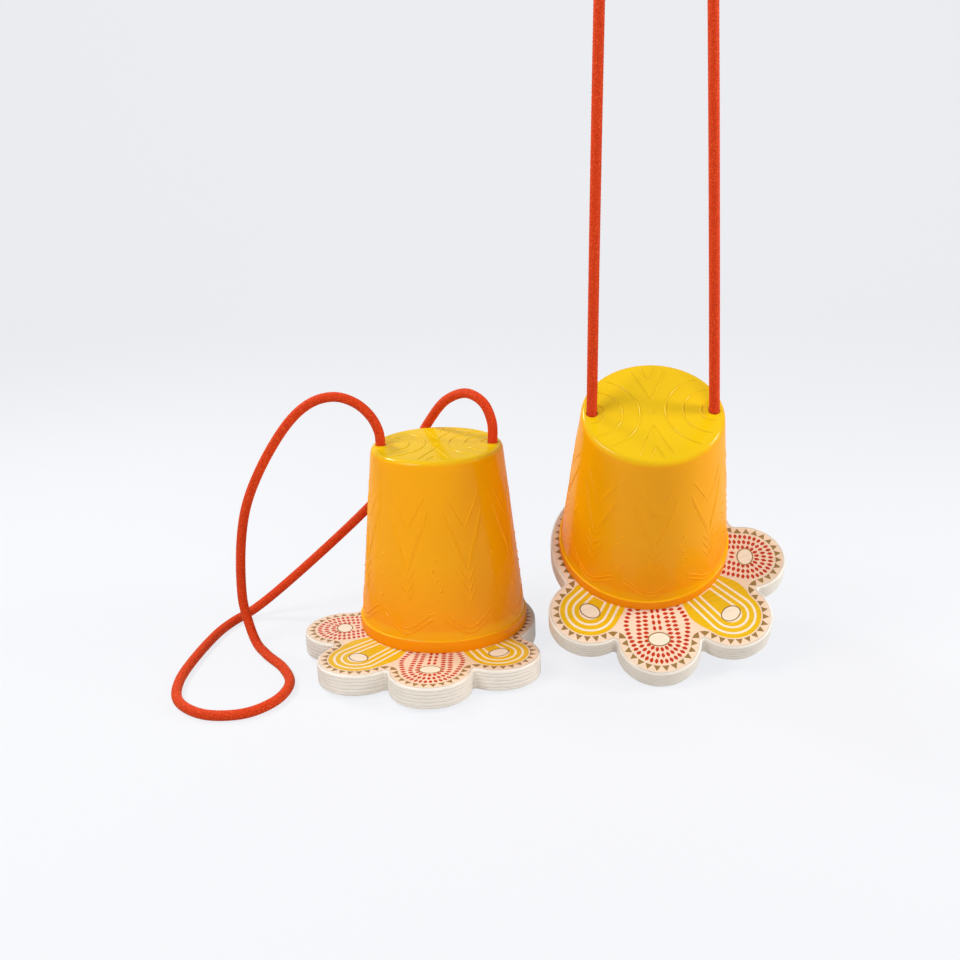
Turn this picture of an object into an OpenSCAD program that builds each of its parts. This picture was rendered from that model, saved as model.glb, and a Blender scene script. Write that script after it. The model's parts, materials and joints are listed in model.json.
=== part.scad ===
// Pair of tin can stilts. A moulded pot stands on a plywood paw board, open below,
// and a cord handle is knotted inside its top. Lengths are in millimetres.
// The toes point to -Y, the floor is z = 0, and the pair stands astride the origin.
// The left stilt stands flat. The right one is caught with its heel lifted in a step.

/* [Pair] */
// Clear width between the heels of the two boards
stance_gap = 12; // [8:1:40]
// How far the right stilt stands behind the left one
stagger_l = 31; // [0:1:60]
// Outward turn of each paw board, in degrees
splay_a = 22; // [10:1:24]
// Heel lift of the right stilt, in degrees
heel_tilt_a = 30; // [5:1:30]

/* [Pot] */
// Height of the pot
pot_h = 130; // [110:1:150]
// Diameter over the lower rim band
pot_base_d = 118; // [112:1:122]
// Diameter of the top
pot_top_d = 91; // [86:1:100]
// Thickness of the side wall
wall_t = 2.4; // [1.8:0.1:3.2]
// Thickness of the top wall
top_t = 2.6; // [2:0.1:4]
// Radius of the top's outer edge
edge_r = 4; // [2:0.5:6]
// Height of the lower rim band
band_h = 8.5; // [5:0.5:14]
// Step in from the rim band to the side
band_step = 1.4; // [0.5:0.1:2.4]

/* [Raised lines] */
// Width of the raised lines on the top
ridge_w = 1.2; // [0.8:0.1:2]
// Height of the raised lines
ridge_h = 0.5; // [0.2:0.1:1]
// Radius of the smallest ring round a cord hole
ring_first_r = 8.5; // [6:0.5:10]
// Step from one ring to the next
ring_step = 11; // [8:0.5:12]
// Number of rings round each cord hole
ring_count = 3; // [1:1:3]

/* [Cord] */
// Diameter of the cord
cord_d = 7; // [5:0.5:8]
// Distance from the edge of the top to the middle of a cord hole
hole_inset = 7; // [6.5:0.5:9]
// Clearance of the cord in its hole, on the radius
hole_clear = 0.3; // [0.2:0.05:0.6]
// Length of the tail below each knot
tail_l = 14; // [8:1:20]

/* [Paw board] */
// Thickness of the plywood
board_t = 15; // [12:1:18]
// Width of board that shows round the pot at the heel
heel_rim_w = 6; // [4:0.5:9]
// Reach of the two middle toes' middles beyond the pot
middle_toe_out = 24; // [22:0.5:27]
// Reach of the two outer toes' middles beyond the pot
outer_toe_out = 12; // [10:0.5:15]
// Angle from one toe to the next, in degrees
toe_pitch_a = 37.5; // [36:0.5:38]
// How far each of the two middle toes runs past the line between them
toe_lap = 1.32; // [0.5:0.02:3]
// Width of board between the hole under the pot and a screw head
hole_web_w = 1.8; // [1.2:0.2:4]
// Fillet between two toes
toe_fillet_r = 2; // [1:0.5:4]
// Fillet between an outer toe and the heel
heel_fillet_r = 4; // [2:0.5:8]

/* [Grip pads] */
// Thickness of the grip pads
pad_t = 2; // [1:0.5:3]
// Width of a middle toe's pad
middle_pad_w = 36; // [30:1:40]
// Length of a middle toe's pad
middle_pad_l = 40; // [37:1:44]
// Width of an outer toe's pad
outer_pad_w = 33; // [28:1:35]
// Length of an outer toe's pad
outer_pad_l = 36; // [34:1:40]
// Distance of the heel strip from the hole under the pot
strip_inset = 3; // [1:0.5:5]
// Width of the heel strip
strip_w = 9; // [6:0.5:11]
// Angle that the heel strip spans, in degrees
strip_a = 172; // [120:1:176]

/* [Screws] */
// Diameter of a screw's shank
screw_d = 3.5; // [3:0.1:4]
// Length of a screw
screw_l = 25; // [20:1:27]
// Diameter of a screw's head
screw_head_d = 6.4; // [5.6:0.1:7.4]
// Diameter of the bosses in the pot
boss_d = 8.4; // [7:0.2:9]
// Height of the bosses
boss_h = 14; // [12:1:20]
// How far each boss runs into the pot's wall at its foot
boss_lap = 1; // [0.6:0.1:2]

/* [Hidden] */
$fn = 96;
overrun = 10;
fillet_bite = 0.02;
hole_r = cord_d / 2 + hole_clear;
screw_clear = 0.05;
recess_w = 0.9;
recess_depth = 1.1;
screw_tip_l = 4;
screw_tip_clear = 1;
knot_gap = 0.3;
knot_ring_r = 4.3;
knot_drop = 7.4;
knot_inset = 4.7;
knot_turns = [[28, 0, 0], [-62, 24, 0]];
tail_turn = [168, 20, 0];
ball_r = 2.5;
gate_r = 1.6;
chevron_apex_l = 11;
chevron_rise = 27;
chevron_half_w = 11;
inner_apex_l = 29;
inner_rise = 15;
inner_half_w = 6.5;

// Heights of the stack on the floor
board_top = pad_t + board_t;
pot_top = board_top + pot_h;

// The screws stand in bosses on the pot's wall, and the board's hole clears their heads
screw_ring_r = pot_base_d / 2 - band_step - wall_t - boss_d / 2 + boss_lap;
screw_angles = [45, 135, 225, 315];
board_hole_r = screw_ring_r - screw_head_d / 2 - hole_web_w;
strip_r = board_hole_r + strip_inset + strip_w / 2;
cord_hole_x = pot_top_d / 2 - hole_inset;

// The board reaches beyond the pot
heel_r = pot_base_d / 2 + heel_rim_w;
middle_toe_l = pot_base_d / 2 + middle_toe_out;
outer_toe_l = pot_base_d / 2 + outer_toe_out;
toe_r = middle_toe_l * sin(toe_pitch_a / 2) + toe_lap;
stance_w = 2 * heel_r + stance_gap;

// Layout: the furthest toe edge, the point the right stilt tips on, and the lifted heel
tip_y = -(middle_toe_l * cos(splay_a - toe_pitch_a / 2) + toe_r);
pivot_y = tip_y + pad_t * cos(heel_tilt_a) / sin(heel_tilt_a);
heel_back_y = pivot_y + (heel_r - pivot_y) * cos(heel_tilt_a) - pad_t * sin(heel_tilt_a);
left_y = -(tip_y + stagger_l + heel_back_y) / 2;

// The left handle's cord leaves one hole over the side, [sideways, up] from that hole
over_side = [[0, 0], [-0.7, 9], [-5.5, 20], [-15, 29.5], [-28.5, 34.5], [-44.5, 31.5], [-63.5, 16]];
// It lies on the floor in a loose loop, from the middle of its stilt with the cord's height above
// its resting height
on_floor = [
    [-135, 0, 101.5], [-144, 0, 34.5], [-140.5, -3, 14.5], [-134, -12, 2.5], [-124, -27, 0],
    [-108, -50, 0], [-100, -73, 0], [-105, -97, 0], [-122, -114, 0], [-147, -115, 0],
    [-168, -98, 0], [-176, -68, 0], [-168, 6, 0], [-160, 31, 0], [-147, 45, 3.5],
    [-122, 52, 21.5]
];
// It comes up behind the pot to the other hole, from that hole
up_behind = [
    [-93.5, 59, -63], [-65.5, 57, -31], [-47.5, 46, 2], [-31.5, 28, 24], [-16.5, 15, 31],
    [-5.5, 6, 26], [-0.2, 1, 14], [0, 0, 0]
];
left_route = concat(
    [for (p = over_side) [p[0] - cord_hole_x, 0, p[1] + pot_top]],
    [for (p = on_floor) p + [0, 0, cord_d / 2]],
    [for (p = up_behind) p + [cord_hole_x, 0, pot_top]]
);
// The right handle's cord rises from one hole to the top of the loop that the hand holds,
// [inwards, up] from that end of the hole line. The other half mirrors it
right_rise = [
    [0, 2.8], [1.9, 90], [4.1, 180], [6.5, 270], [8.5, 359], [9.5, 394], [12, 409],
    [18, 421], [27.5, 428.5], [38.5, 431]
];

// Round cord swept along a route

function spread(a, b) = sqrt(norm(b - a));

function mix(a, b, from, to, at) = ((to - at) * a + (at - from) * b) / (to - from);

// Point of the smooth curve through b and c, with a before them and d after them
function curve_at(a, b, c, d, share) =
    let (tb = spread(a, b), tc = tb + spread(b, c), td = tc + spread(c, d))
    let (at = tb + (tc - tb) * share)
    let (ab = mix(a, b, 0, tb, at), bc = mix(b, c, tb, tc, at), cd = mix(c, d, tc, td, at))
    let (abc = mix(ab, bc, 0, tc, at), bcd = mix(bc, cd, tb, td, at))
    mix(abc, bcd, tb, tc, at);

function smooth(route, steps) =
    let (last = len(route) - 1)
    let (before = 2 * route[0] - route[1], after = 2 * route[last] - route[last - 1])
    let (padded = concat([before], route, [after]))
    concat(
        [for (i = [0 : last - 1], s = [0 : steps - 1])
            curve_at(padded[i], padded[i + 1], padded[i + 2], padded[i + 3], s / steps)],
        [route[last]]
    );

function unit(v) = v / norm(v);

function heading(line, i) =
    unit(line[min(i + 1, len(line) - 1)] - line[max(i - 1, 0)]);

// Side vectors carried along the line without twist
function sides(line, i = 0, side = [0, 1, 0]) =
    i == len(line) ? [] :
    let (along = heading(line, i), across = unit(side - (side * along) * along))
    concat([across], sides(line, i + 1, across));

function ring_at(centre, along, across, r, corners) =
    let (up = cross(along, across))
    [for (k = [0 : corners - 1])
        let (a = 360 * k / corners)
        centre + r * cos(a) * across + r * sin(a) * up];

module swept_cord(line, d, corners = 10) {
    across = sides(line);
    rings = [for (i = [0 : len(line) - 1])
        ring_at(line[i], heading(line, i), across[i], d / 2, corners)];
    last = len(line) - 1;
    walls = [for (i = [0 : last - 1], k = [0 : corners - 1])
        let (next = (k + 1) % corners, low = i * corners, high = (i + 1) * corners)
        each [[low + k, high + k, low + next], [low + next, high + k, high + next]]];
    first_end = [for (k = [0 : corners - 1]) k];
    last_end = [for (k = [corners - 1 : -1 : 0]) last * corners + k];
    polyhedron([for (ring = rings) each ring], concat(walls, [first_end, last_end]));
}

// Placing

module place_left() {
    translate([-stance_w / 2, left_y, 0]) children();
}

module place_right() {
    translate([stance_w / 2, left_y + stagger_l + pivot_y, 0])
        rotate([heel_tilt_a, 0, 0])
            translate([0, -pivot_y, 0]) children();
}

module splayed(side) {
    rotate([0, 0, side * splay_a]) children();
}

// Pot

// Profile of the pot's outside: rim band, tapered side and rounded top edge
module pot_outside() {
    foot = [pot_base_d / 2 - band_step, band_h];
    shoulder = [pot_top_d / 2 - edge_r, pot_h - edge_r];
    run = shoulder - foot;
    lean = atan2(run[1], run[0]) - asin(edge_r / norm(run));
    side_l = sqrt(run * run - edge_r * edge_r);
    meet = foot + side_l * [cos(lean), sin(lean)];
    polygon([
        [0, 0], [pot_base_d / 2, 0], [pot_base_d / 2, band_h], foot, meet, shoulder,
        [shoulder[0], pot_h], [0, pot_h]
    ]);
    intersection() {
        translate(shoulder) circle(edge_r);
        square([pot_base_d, pot_h]);
    }
}

module pot_inside() {
    base_r = pot_base_d / 2 - band_step - wall_t;
    top_r = pot_top_d / 2 - wall_t;
    polygon([[0, -overrun], [base_r, -overrun], [base_r, 0], [top_r, pot_h - top_t], [0, pot_h - top_t]]);
}

module pot_shell() {
    rotate_extrude() difference() {
        pot_outside();
        pot_inside();
    }
}

module bosses() {
    for (a = screw_angles)
        rotate([0, 0, a]) translate([screw_ring_r, 0, 0]) cylinder(d = boss_d, h = boss_h);
}

module pilot_holes() {
    for (a = screw_angles)
        rotate([0, 0, a]) translate([screw_ring_r, 0, -overrun])
            cylinder(r = screw_d / 2 + screw_clear, h = overrun + screw_l - board_t + screw_tip_clear);
}

// Straight raised line from one point to another with rounded ends
module line_2d(from, to) {
    run = to - from;
    translate(from) rotate(atan2(run[1], run[0])) translate([0, -ridge_w / 2])
        square([norm(run), ridge_w]);
    translate(from) circle(ridge_w / 2);
    translate(to) circle(ridge_w / 2);
}

module chevron_2d(apex, rise, half_w) {
    line_2d([0, apex], [half_w, apex + rise]);
    line_2d([0, apex], [-half_w, apex + rise]);
}

module rings_2d() {
    for (i = [0 : ring_count - 1])
        let (r = ring_first_r + i * ring_step)
            difference() {
                circle(r + ridge_w / 2);
                circle(r - ridge_w / 2);
            }
}

module top_lines() {
    linear_extrude(ridge_h + top_t / 2) intersection() {
        circle(pot_top_d / 2 - edge_r);
        union() {
            for (x = [-cord_hole_x, cord_hole_x])
                translate([x, 0]) rings_2d();
            for (turn = [0, 180])
                rotate(turn) {
                    chevron_2d(chevron_apex_l, chevron_rise, chevron_half_w);
                    chevron_2d(inner_apex_l, inner_rise, inner_half_w);
                }
            circle(gate_r);
        }
    }
}

module pot() {
    translate([0, 0, board_top]) difference() {
        union() {
            pot_shell();
            bosses();
            translate([0, 0, pot_h - top_t / 2]) top_lines();
        }
        pilot_holes();
        for (x = [-cord_hole_x, cord_hole_x])
            translate([x, 0, pot_h - top_t - overrun]) cylinder(r = hole_r, h = 2 * overrun + top_t);
    }
}

// Paw board

function toe_at(n) =
    let (l = abs(n) < 1 ? middle_toe_l : outer_toe_l, a = n * toe_pitch_a)
    [l * sin(a), -l * cos(a)];

// Centre of a fillet beside circle a of radius ra and circle b of radius rb, which it bites
function fillet_at(a, ra, b, rb, r) =
    let (gap = norm(b - a), p = ra + r - fillet_bite, q = rb + r - fillet_bite)
    let (along = (gap * gap + p * p - q * q) / (2 * gap), out = sqrt(p * p - along * along))
    let (dir = (b - a) / gap)
    a + along * dir + out * [-dir[1], dir[0]];

module fillet(a, ra, b, rb, r) {
    centre = fillet_at(a, ra, b, rb, r);
    difference() {
        linear_extrude(board_t) polygon([a, centre, b]);
        translate(concat(centre, -overrun)) cylinder(r = r, h = board_t + 2 * overrun);
    }
}

module paw_blank() {
    toes = [for (n = [-1.5, -0.5, 0.5, 1.5]) toe_at(n)];
    cylinder(r = heel_r, h = board_t);
    for (t = toes)
        translate(t) cylinder(r = toe_r, h = board_t);
    linear_extrude(board_t) polygon(concat([[0, 0]], toes));
    for (i = [0 : 2])
        fillet(toes[i + 1], toe_r, toes[i], toe_r, toe_fillet_r);
    fillet([0, 0], heel_r, toes[3], toe_r, heel_fillet_r);
    fillet(toes[0], toe_r, [0, 0], heel_r, heel_fillet_r);
}

module screw_holes() {
    head_r = screw_head_d / 2;
    shank_r = screw_d / 2;
    for (a = screw_angles)
        rotate([0, 0, a]) translate([screw_ring_r, 0, 0]) {
            translate([0, 0, -overrun]) cylinder(r = shank_r + screw_clear, h = board_t + 2 * overrun);
            cylinder(r1 = head_r + screw_clear, r2 = shank_r + screw_clear, h = head_r - shank_r);
        }
}

module paw_board(side) {
    translate([0, 0, pad_t]) difference() {
        splayed(side) paw_blank();
        translate([0, 0, -overrun]) cylinder(r = board_hole_r, h = board_t + 2 * overrun);
        screw_holes();
    }
}

// Grip pads

module stadium_2d(w, l) {
    offset_y = (l - w) / 2;
    translate([-w / 2, -offset_y]) square([w, 2 * offset_y]);
    for (y = [-offset_y, offset_y])
        translate([0, y]) circle(w / 2);
}

module toe_pad(side, n) {
    middle = abs(n) < 1;
    splayed(side) translate(toe_at(n)) rotate([0, 0, n * toe_pitch_a]) linear_extrude(pad_t)
        stadium_2d(middle ? middle_pad_w : outer_pad_w, middle ? middle_pad_l : outer_pad_l);
}

module heel_strip(side) {
    end_a = 90 - strip_a / 2;
    reach = 2 * heel_r;
    splayed(side) linear_extrude(pad_t) {
        intersection() {
            difference() {
                circle(strip_r + strip_w / 2);
                circle(strip_r - strip_w / 2);
            }
            polygon([
                [0, 0], reach * [cos(end_a), sin(end_a)], [reach, reach],
                [-reach, reach], reach * [-cos(end_a), sin(end_a)]
            ]);
        }
        for (mirrored = [-1, 1])
            translate(strip_r * [mirrored * cos(end_a), sin(end_a)]) circle(strip_w / 2);
    }
}

// Screws

module screw() {
    head_r = screw_head_d / 2;
    shank_r = screw_d / 2;
    head_h = head_r - shank_r;
    difference() {
        union() {
            cylinder(r1 = head_r, r2 = shank_r, h = head_h);
            cylinder(r = shank_r, h = screw_l - screw_tip_l);
            translate([0, 0, screw_l - screw_tip_l])
                cylinder(r1 = shank_r, r2 = recess_w / 2, h = screw_tip_l);
        }
        for (turn = [0, 90])
            rotate([0, 0, turn]) translate([-shank_r, -recess_w / 2, -overrun])
                cube([screw_d, recess_w, overrun + recess_depth]);
    }
}

module screws() {
    for (a = screw_angles)
        rotate([0, 0, a]) translate([screw_ring_r, 0, pad_t]) screw();
}

// Cord ends: each passes down through its hole into a knot with a short tail

module knot_ring() {
    rotate_extrude() translate([knot_ring_r, 0]) circle(cord_d / 2 - knot_gap / 2);
}

module cord_end() {
    under = pot_top - top_t - knot_gap;
    knot_z = under - knot_drop;
    translate([cord_hole_x, 0, knot_z]) cylinder(d = cord_d, h = pot_top - knot_z);
    translate([cord_hole_x - knot_inset, 0, knot_z]) {
        for (turn = knot_turns)
            rotate(turn) knot_ring();
        rotate(tail_turn) cylinder(d = cord_d, h = tail_l + knot_ring_r);
    }
}

module cord_ends() {
    for (turn = [0, 180])
        rotate([0, 0, turn]) cord_end();
}

// The left stilt

module left_pot() {
    color("orange") place_left() pot();
}

module left_paw_board() {
    color("antiquewhite") place_left() paw_board(-1);
}

module left_toe_pad_1() {
    color("dimgray") place_left() toe_pad(-1, -1.5);
}

module left_toe_pad_2() {
    color("dimgray") place_left() toe_pad(-1, -0.5);
}

module left_toe_pad_3() {
    color("dimgray") place_left() toe_pad(-1, 0.5);
}

module left_toe_pad_4() {
    color("dimgray") place_left() toe_pad(-1, 1.5);
}

module left_heel_strip() {
    color("dimgray") place_left() heel_strip(-1);
}

module left_screws() {
    color("silver") place_left() screws();
}

module left_knots() {
    color("orangered") place_left() cord_ends();
}

module left_cord() {
    color("orangered") place_left() swept_cord(smooth(left_route, 2), cord_d);
}

// The right stilt

module right_pot() {
    color("orange") place_right() pot();
}

module right_paw_board() {
    color("antiquewhite") place_right() paw_board(1);
}

module right_toe_pad_1() {
    color("dimgray") place_right() toe_pad(1, -1.5);
}

module right_toe_pad_2() {
    color("dimgray") place_right() toe_pad(1, -0.5);
}

module right_toe_pad_3() {
    color("dimgray") place_right() toe_pad(1, 0.5);
}

module right_toe_pad_4() {
    color("dimgray") place_right() toe_pad(1, 1.5);
}

module right_heel_strip() {
    color("dimgray") place_right() heel_strip(1);
}

module right_screws() {
    color("silver") place_right() screws();
}

// These ends stop in small balls on the line that the upright cord swings about
module right_knots() {
    color("orangered") place_right() {
        cord_ends();
        for (x = [-cord_hole_x, cord_hole_x])
            translate([x, 0, pot_top]) sphere(ball_r);
    }
}

module right_cord() {
    hole_y = pivot_y - pivot_y * cos(heel_tilt_a) - pot_top * sin(heel_tilt_a);
    hole_z = pot_top * cos(heel_tilt_a) - pivot_y * sin(heel_tilt_a);
    rise = [for (p = right_rise) [p[0] - cord_hole_x, 0, p[1]]];
    fall = [for (i = [len(rise) - 2 : -1 : 0]) [-rise[i][0], 0, rise[i][2]]];
    color("orangered")
        translate([stance_w / 2, left_y + stagger_l + hole_y, hole_z])
            swept_cord(concat(rise, fall), cord_d);
}

left_pot();
left_paw_board();
left_toe_pad_1();
left_toe_pad_2();
left_toe_pad_3();
left_toe_pad_4();
left_heel_strip();
left_screws();
left_knots();
left_cord();
right_pot();
right_paw_board();
right_toe_pad_1();
right_toe_pad_2();
right_toe_pad_3();
right_toe_pad_4();
right_heel_strip();
right_screws();
right_knots();
right_cord();
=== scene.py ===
"""Looks of a pair of tin can stilts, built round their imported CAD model.

All of a stilt but its cord is shaped in the stilt's own frame: the pot's axis is Z, the cord
holes lie on X, the toes point to -Y and the floor is Z = 0. PLACES stands it in the shared
frame. A paw board is shaped straight and then turned out by its splay.
"""

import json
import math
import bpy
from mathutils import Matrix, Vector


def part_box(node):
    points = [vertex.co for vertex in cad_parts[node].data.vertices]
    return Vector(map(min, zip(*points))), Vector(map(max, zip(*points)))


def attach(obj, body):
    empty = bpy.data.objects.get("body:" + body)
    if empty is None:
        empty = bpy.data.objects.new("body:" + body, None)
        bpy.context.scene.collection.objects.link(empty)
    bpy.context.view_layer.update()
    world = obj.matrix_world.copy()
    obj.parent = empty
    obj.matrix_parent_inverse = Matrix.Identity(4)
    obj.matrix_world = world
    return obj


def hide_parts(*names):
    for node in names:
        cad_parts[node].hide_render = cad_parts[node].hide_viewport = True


bl_info = {
    "name": "Tin Can Stilts",
    "version": (1, 0, 0),
    "blender": (4, 5, 0),
    "location": "View3D > Sidebar > Stilts",
    "description": "Pair of tin can stilts with paw boards and braided cord handles",
    "category": "Object",
}

import bmesh
import bpy
import numpy as np
from bpy.props import FloatProperty, FloatVectorProperty, IntProperty, PointerProperty
from mathutils import Matrix, Vector
from mathutils.geometry import delaunay_2d_cdt

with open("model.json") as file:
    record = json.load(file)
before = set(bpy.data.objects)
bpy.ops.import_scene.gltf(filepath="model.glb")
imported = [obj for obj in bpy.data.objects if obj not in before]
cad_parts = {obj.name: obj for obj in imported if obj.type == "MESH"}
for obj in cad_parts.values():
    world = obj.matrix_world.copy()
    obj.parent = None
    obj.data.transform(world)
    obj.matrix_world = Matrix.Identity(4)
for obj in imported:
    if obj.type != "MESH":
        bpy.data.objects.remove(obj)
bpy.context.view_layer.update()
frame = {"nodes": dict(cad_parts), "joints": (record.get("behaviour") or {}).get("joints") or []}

MM = 0.001
SIDES = ("left", "right")
TURN = {"left": -1, "right": 1}
JOINTS = {joint["name"]: joint for joint in frame["joints"]}
PIVOT = Vector(JOINTS["right_heel_tilt"]["pos_m"])
HOLE_LINE = Vector(JOINTS["right_cord_swing"]["pos_m"])
HEEL_TILT = math.radians(-JOINTS["right_heel_tilt"]["range_deg"][0])

HOLE_X = 38.5 * MM
POT_TOP = 147 * MM
SHARP_EDGE = 35

# Routes in mm. The left cord leaves one hole over the side: sideways and up from that hole
OVER_SIDE = (
    (0, 0), (-0.7, 9), (-5.5, 20), (-15, 29.5), (-28.5, 34.5), (-44.5, 31.5), (-63.5, 16),
)
# It lies on the floor in a loose loop, from the middle of its stilt
ON_FLOOR = (
    (-135, 0, 105), (-144, 0, 38), (-140.5, -3, 18), (-134, -12, 6), (-124, -27, 3.5),
    (-108, -50, 3.5), (-100, -73, 3.5), (-105, -97, 3.5), (-122, -114, 3.5), (-147, -115, 3.5),
    (-168, -98, 3.5), (-176, -68, 3.5), (-168, 6, 3.5), (-160, 31, 3.5), (-147, 45, 7),
    (-122, 52, 25),
)
# It comes up behind the pot to the other hole, from that hole
UP_BEHIND = (
    (-93.5, 59, -63), (-65.5, 57, -31), (-47.5, 46, 2), (-31.5, 28, 24), (-16.5, 15, 31),
    (-5.5, 6, 26), (-0.2, 1, 14), (0, 0, 0),
)
LEFT_ROUTE = (
    *((x * MM - HOLE_X, 0, z * MM + POT_TOP) for x, z in OVER_SIDE),
    *((x * MM, y * MM, z * MM) for x, y, z in ON_FLOOR),
    *((x * MM + HOLE_X, y * MM, z * MM + POT_TOP) for x, y, z in UP_BEHIND),
)
# Half of the right cord's route: inwards and up from the end of its hole line
RIGHT_RISE = (
    (0, 2.8), (1.9, 90), (4.1, 180), (6.5, 270), (8.5, 359),
    (9.5, 394), (12, 409), (18, 421), (27.5, 428.5), (38.5, 431),
)


def around_pivot(angle):
    """Turn about the line of the right stilt's front toe edge."""
    return Matrix.Translation(PIVOT) @ Matrix.Rotation(angle, 4, "X") @ Matrix.Translation(-PIVOT)


def stilt_places():
    """Where each stilt's own frame stands in the shared frame."""
    low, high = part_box("left_pot")
    left = Matrix.Translation(((low.x + high.x) / 2, (low.y + high.y) / 2, 0))
    level = around_pivot(-HEEL_TILT) @ HOLE_LINE
    right = around_pivot(HEEL_TILT) @ Matrix.Translation((level.x, level.y, 0))
    return {"left": left, "right": right}


PLACES = stilt_places()
POT_LOW, POT_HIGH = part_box("left_pot")
BOARD_LOW, BOARD_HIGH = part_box("left_paw_board")
POT_BASE_R = (POT_HIGH.x - POT_LOW.x) / 2
BOARD_TOP = BOARD_HIGH.z
PAD_TOP = BOARD_LOW.z
POT_HEIGHT = POT_TOP - BOARD_TOP
BOARD_THICK = BOARD_TOP - PAD_TOP


# Settings that a user would change


def as_number(name, description, default, **kind):
    return FloatProperty(name=name, description=description, default=default, **kind)


def in_mm(name, description, millimetres):
    return as_number(name, description, millimetres * MM, unit="LENGTH")


def in_degrees(name, description, degrees):
    return as_number(name, description, math.radians(degrees), subtype="ANGLE")


def as_share(name, description, share):
    return as_number(name, description, share, min=0, max=1, subtype="FACTOR")


def in_watts(name, description, watts):
    return as_number(name, description, watts, min=0, unit="POWER")


def as_vector(name, description, default, **kind):
    return FloatVectorProperty(name=name, description=description, default=default, **kind)


def as_colour(name, description, colour):
    return as_vector(name, description, colour, min=0, max=1, subtype="COLOR")


class CordSettings(bpy.types.PropertyGroup):
    diameter: in_mm("Diameter", "Diameter of the cord", 7)
    strands: IntProperty(
        name="Strands", description="Strands that wind each way round the cord", default=10, min=4
    )
    pitch: in_mm("Pitch", "Length of one turn of a strand", 22)
    relief: in_mm("Relief", "Depth of the dips in the braid", 0.5)
    knot_ring: in_mm("Knot ring", "Radius of a knot's two turns", 4.3)
    colour: as_colour("Colour", "Main colour of the yarn", (0.63, 0.042, 0.006))
    light_yarn: as_colour("Light yarn", "Colour of the lighter flecks", (0.82, 0.16, 0.03))


class PotSettings(bpy.types.PropertyGroup):
    top_diameter: in_mm("Top diameter", "Diameter of the pot's top", 91)
    edge_radius: in_mm("Edge radius", "Rounding of the top edge", 4)
    side_wall: in_mm("Side wall", "Thickness of the side wall", 2.4)
    top_wall: in_mm("Top wall", "Thickness of the top wall", 2.6)
    band_height: in_mm("Band height", "Height of the lower rim band", 8.5)
    band_step: in_mm("Band step", "Step in from the band to the side", 1.4)
    hole_diameter: in_mm("Hole diameter", "Diameter of a cord hole", 7.6)
    line_width: in_mm("Line width", "Width of the raised lines", 1.4)
    line_height: in_mm("Line height", "Height of the raised lines", 0.5)
    side_share: as_share("Side share", "The side's line height as a share of the top's", 0.7)
    side_colour: as_colour("Side colour", "Colour of the pot's side", (0.89, 0.37, 0.002))
    # Painted shade: the foot colour deepens the pot towards its foot. Painted light: the top colour
    # makes the top yellower.
    shaded_foot_colour: as_colour("Foot colour", "Colour of the pot's foot", (0.9, 0.285, 0.002))
    lit_top_colour: as_colour("Top colour", "Colour of the pot's top", (0.75, 0.475, 0.004))


class BoardSettings(bpy.types.PropertyGroup):
    splay: in_degrees("Splay", "Outward turn of a paw board", 22)
    heel_radius: in_mm("Heel radius", "Radius of the heel", 65)
    toe_radius: in_mm("Toe radius", "Radius of a toe", 28)
    middle_reach: in_mm("Middle reach", "Distance of a middle toe from the pot's axis", 83)
    outer_reach: in_mm("Outer reach", "Distance of an outer toe from the pot's axis", 71)
    toe_pitch: in_degrees("Toe pitch", "Angle from one toe to the next", 37.5)
    hole_diameter: in_mm("Hole diameter", "Diameter of the hole under the pot", 94)
    toe_fillet: in_mm("Toe fillet", "Fillet between two toes", 2)
    heel_fillet: in_mm("Heel fillet", "Fillet between a toe and the heel", 4)
    edge_radius: in_mm("Edge radius", "Rounding of the board's edges", 1.8)
    plies: IntProperty(name="Plies", description="Number of plies in the board", default=6, min=2)
    tooth_pitch: in_mm("Tooth pitch", "Distance between the border's teeth", 6)
    border: in_mm("Border", "Width of the border round the toes' panels", 7.8)
    mark_pitch: in_mm("Mark pitch", "Distance between the red toes' marks", 3.3)
    ground: as_colour("Ground", "Colour under the print", (0.8, 0.63, 0.48))
    edge_colour: as_colour("Edge colour", "Colour of the board's edge", (0.84, 0.78, 0.7))
    brown: as_colour("Brown", "Colour of the border's teeth", (0.29, 0.17, 0.05))
    yellow: as_colour("Yellow", "Colour of the yellow toes", (0.74, 0.45, 0.007))
    red: as_colour("Red", "Colour of the red toes' marks", (0.5, 0.03, 0.006))
    ivory: as_colour("Ivory", "Colour of the bare shapes in the print", (0.84, 0.74, 0.6))


class FittingSettings(bpy.types.PropertyGroup):
    rubber: as_colour("Rubber", "Colour of the grip pads", (0.012, 0.012, 0.014))
    zinc: as_colour("Zinc", "Colour of the screws", (0.6, 0.6, 0.62))
    screw_ring: in_mm("Screw ring", "Radius of the circle that the screws stand on", 52)
    screw_diameter: in_mm("Screw diameter", "Diameter of a screw's shank", 3.5)
    head_diameter: in_mm("Head diameter", "Diameter of a screw's head", 6.4)
    boss_diameter: in_mm("Boss diameter", "Diameter of the pot's screw bosses", 8.4)
    boss_height: in_mm("Boss height", "Height of the pot's screw bosses", 14)


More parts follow.
